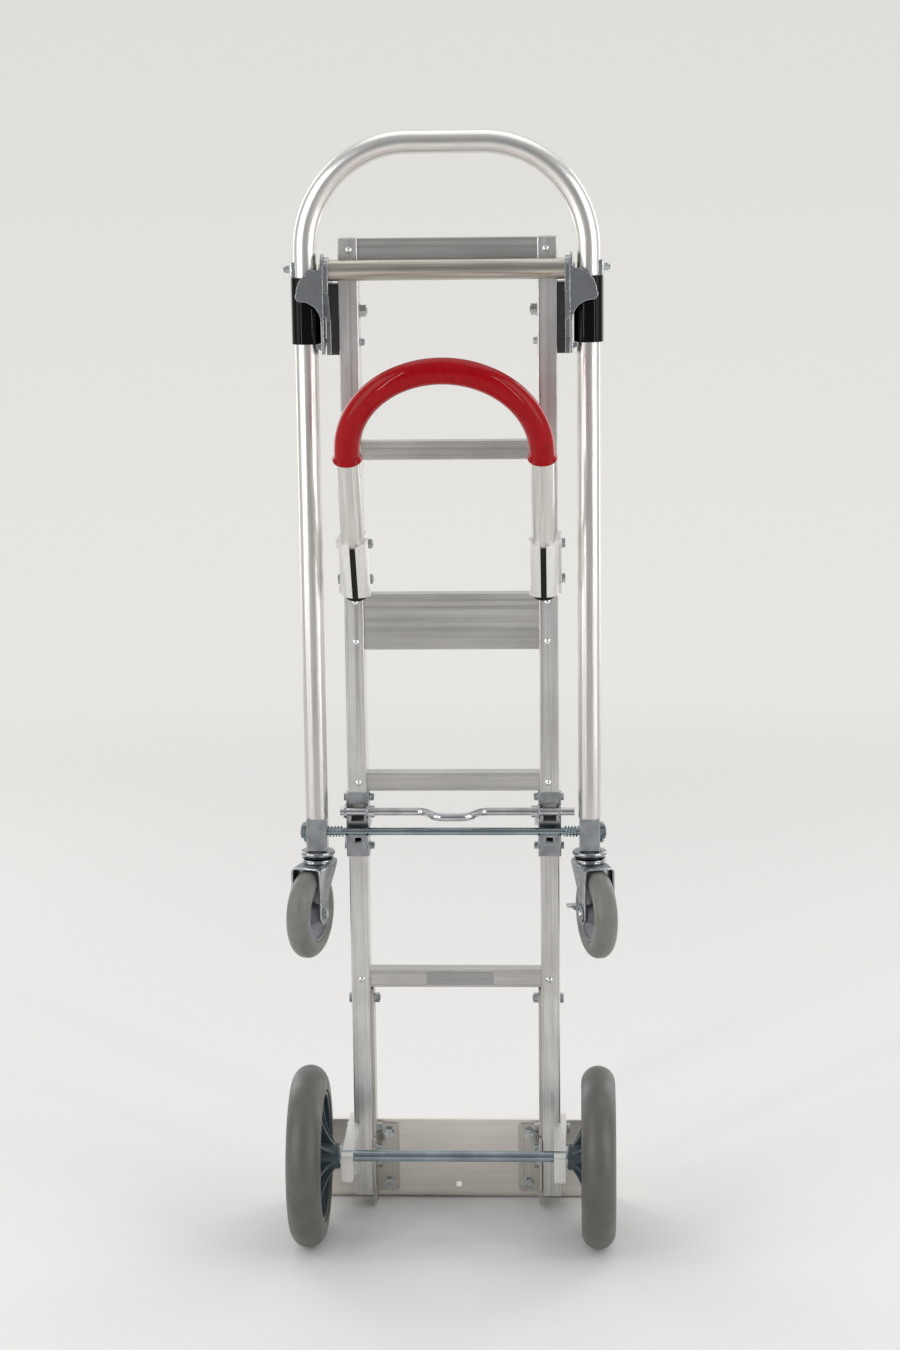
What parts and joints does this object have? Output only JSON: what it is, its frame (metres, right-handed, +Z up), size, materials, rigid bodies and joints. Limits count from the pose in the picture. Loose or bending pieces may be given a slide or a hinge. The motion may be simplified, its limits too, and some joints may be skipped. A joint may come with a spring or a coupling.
{
  "type": "convertible hand truck",
  "caption": "Convertible hand truck with ladder frame, toe plate, loop handle, folding U-handle on a sliding hinge, axle wheels and swivel casters.",
  "frame": {"origin": "on the floor, under the middle of the overall box", "axes": "+Z up, +Y from the rails towards the load side and toe plate tip, +X to the right seen from behind"},
  "size_m": [0.4624, 0.478, 1.5449],
  "materials": {
    "extruded_aluminium": "mill finish extrusion",
    "aluminium_tube": "drawn tube, satin",
    "sheet_aluminium": "rolled sheet",
    "cast_aluminium": "sand cast, tumbled",
    "rivet_aluminium": "drawn, bright",
    "label_foil": "anodised foil, blank",
    "zinc_plate": "bright zinc plated sheet steel",
    "zinc_rod": "bright zinc plated bar",
    "zinc_bolts": "zinc plated fasteners",
    "black_nylon": "moulded nylon, semi gloss",
    "red_vinyl": "dipped vinyl, glossy",
    "wheel_rubber": "moulded grey rubber",
    "caster_rubber": "moulded grey rubber",
    "hub_plastic": "moulded polypropylene",
    "caster_hub_plastic": "moulded polypropylene"
  },
  "bodies": {
    "frame": {"rail_left": "extruded_aluminium", "rail_right": "extruded_aluminium", "cross_bar_top": "extruded_aluminium", "cross_bar_upper": "extruded_aluminium", "cross_panel": "extruded_aluminium", "cross_bar_lower": "extruded_aluminium", "cross_bar_bottom": "extruded_aluminium", "frame_rivets": "rivet_aluminium", "label_plate": "label_foil", "toe_plate": "sheet_aluminium", "toe_bracket_left": "sheet_aluminium", "toe_bracket_right": "sheet_aluminium", "toe_bolts": "zinc_bolts", "loop_handle_tube": "aluminium_tube", "loop_grip": "red_vinyl", "loop_clamp_left": "cast_aluminium", "loop_clamp_right": "cast_aluminium", "clamp_bolts": "zinc_bolts", "hinge_spacers": "black_nylon", "hinge_plate_left": "zinc_plate", "hinge_plate_right": "zinc_plate", "hinge_bolts": "zinc_bolts", "latch_bracket_left": "zinc_plate", "latch_bracket_right": "zinc_plate", "latch_bolts": "zinc_bolts", "axle_bracket_left": "cast_aluminium", "axle_bracket_right": "cast_aluminium", "axle_bolts": "zinc_bolts", "axle_rod": "zinc_rod", "axle_retainers": "zinc_bolts"},
    "wheel_left": {"wheel_tyre_left": "wheel_rubber", "wheel_hub_left": "hub_plastic", "wheel_bearing_left": "zinc_bolts"},
    "wheel_right": {"wheel_tyre_right": "wheel_rubber", "wheel_hub_right": "hub_plastic", "wheel_bearing_right": "zinc_bolts"},
    "cradle": {"hinge_cross_tube": "aluminium_tube", "swing_plate_left": "zinc_plate", "swing_plate_right": "zinc_plate", "guide_sleeve_left": "black_nylon", "guide_sleeve_right": "black_nylon"},
    "u_handle": {"u_handle_tube": "aluminium_tube", "stop_blocks": "zinc_bolts", "caster_socket_left": "zinc_plate", "caster_socket_right": "zinc_plate", "cross_rod": "zinc_rod", "rod_springs": "zinc_rod", "socket_bolts": "zinc_bolts", "caster_race_left": "zinc_plate", "caster_race_right": "zinc_plate"},
    "release": {"release_bar": "zinc_rod"},
    "caster_left": {"caster_fork_left": "zinc_plate", "caster_axle_left": "zinc_bolts"},
    "caster_right": {"caster_fork_right": "zinc_plate", "caster_axle_right": "zinc_bolts"},
    "caster_wheel_left": {"caster_tyre_left": "caster_rubber", "caster_hub_left": "caster_hub_plastic"},
    "caster_wheel_right": {"caster_tyre_right": "caster_rubber", "caster_hub_right": "caster_hub_plastic"},
    "brake": {"brake_lever": "zinc_plate"}
  },
  "joints": [
    {"name": "wheel_spin_left", "type": "hinge", "parent": "frame", "child": "wheel_left", "pos_m": [-0.2033, -0.112, 0.127], "axis": [1, 0, 0], "continuous": true},
    {"name": "wheel_spin_right", "type": "hinge", "parent": "frame", "child": "wheel_right", "pos_m": [0.2033, -0.112, 0.127], "axis": [1, 0, 0], "continuous": true},
    {"name": "handle_fold", "type": "hinge", "parent": "frame", "child": "cradle", "pos_m": [0, -0.0125, 1.359], "axis": [-1, 0, 0], "range_deg": [0, 90]},
    {"name": "handle_slide", "type": "slide", "parent": "cradle", "child": "u_handle", "axis": [0, 0, 1], "range_m": [0, 0.655]},
    {"name": "release_turn", "type": "hinge", "parent": "frame", "child": "release", "pos_m": [0, -0.0125, 0.6017], "axis": [-1, 0, 0], "range_deg": [0, 25], "stiffness_Nm_per_rad": 0.4},
    {"name": "caster_swivel_left", "type": "hinge", "parent": "u_handle", "child": "caster_left", "pos_m": [-0.1925, -0.0125, 0.535], "axis": [0, 0, 1], "range_deg": [-180, 90]},
    {"name": "caster_roll_left", "type": "hinge", "parent": "caster_left", "child": "caster_wheel_left", "pos_m": [-0.20187, -0.04518, 0.463], "axis": [0.9613, -0.2756, 0], "continuous": true},
    {"name": "caster_swivel_right", "type": "hinge", "parent": "u_handle", "child": "caster_right", "pos_m": [0.1925, -0.0125, 0.535], "axis": [0, 0, 1], "range_deg": [-90, 180]},
    {"name": "caster_roll_right", "type": "hinge", "parent": "caster_right", "child": "caster_wheel_right", "pos_m": [0.20187, -0.04518, 0.463], "axis": [0.9613, 0.2756, 0], "continuous": true},
    {"name": "brake_press", "type": "hinge", "parent": "caster_right", "child": "brake", "pos_m": [0.20187, -0.04518, 0.463], "axis": [-0.9613, -0.2756, 0], "range_deg": [0, 20]}
  ],
  "couplings": [
    {"joint": "handle_slide", "follows": "handle_fold", "m_per_rad": 0.41697}
  ]
}
